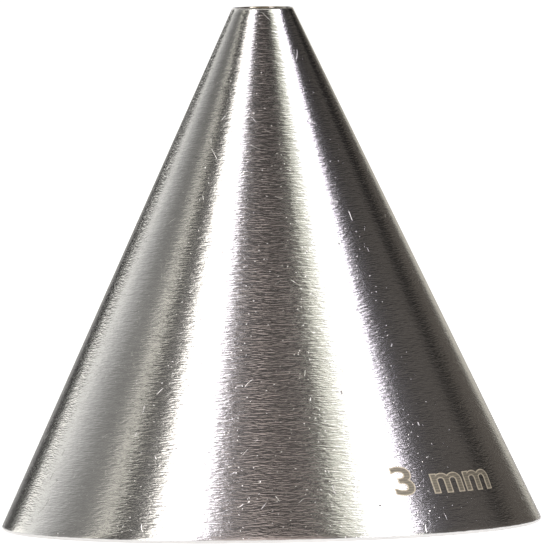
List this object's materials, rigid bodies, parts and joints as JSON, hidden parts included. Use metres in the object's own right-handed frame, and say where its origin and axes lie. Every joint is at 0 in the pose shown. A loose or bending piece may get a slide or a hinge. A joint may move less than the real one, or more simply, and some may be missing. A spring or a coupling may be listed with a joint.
{
  "type": "piping nozzle",
  "caption": "Plain round piping nozzle: a hollow brushed-steel cone with a wide open base and a small round outlet at the tip.",
  "frame": {"origin": "centre of the base rim, on the plane that the rim rests on", "axes": "+Z along the cone's axis, from the base to the outlet; the weld is on the +Y side, away from the picture's camera"},
  "size_m": [0.035, 0.035, 0.0336],
  "materials": {
    "brushed_wall": "brushed round the axis",
    "weld_seam": "dressed weld, brushed over"
  },
  "bodies": {
    "root": {"cone_wall": "brushed_wall", "seam_weld": "weld_seam"}
  },
  "joints": []
}
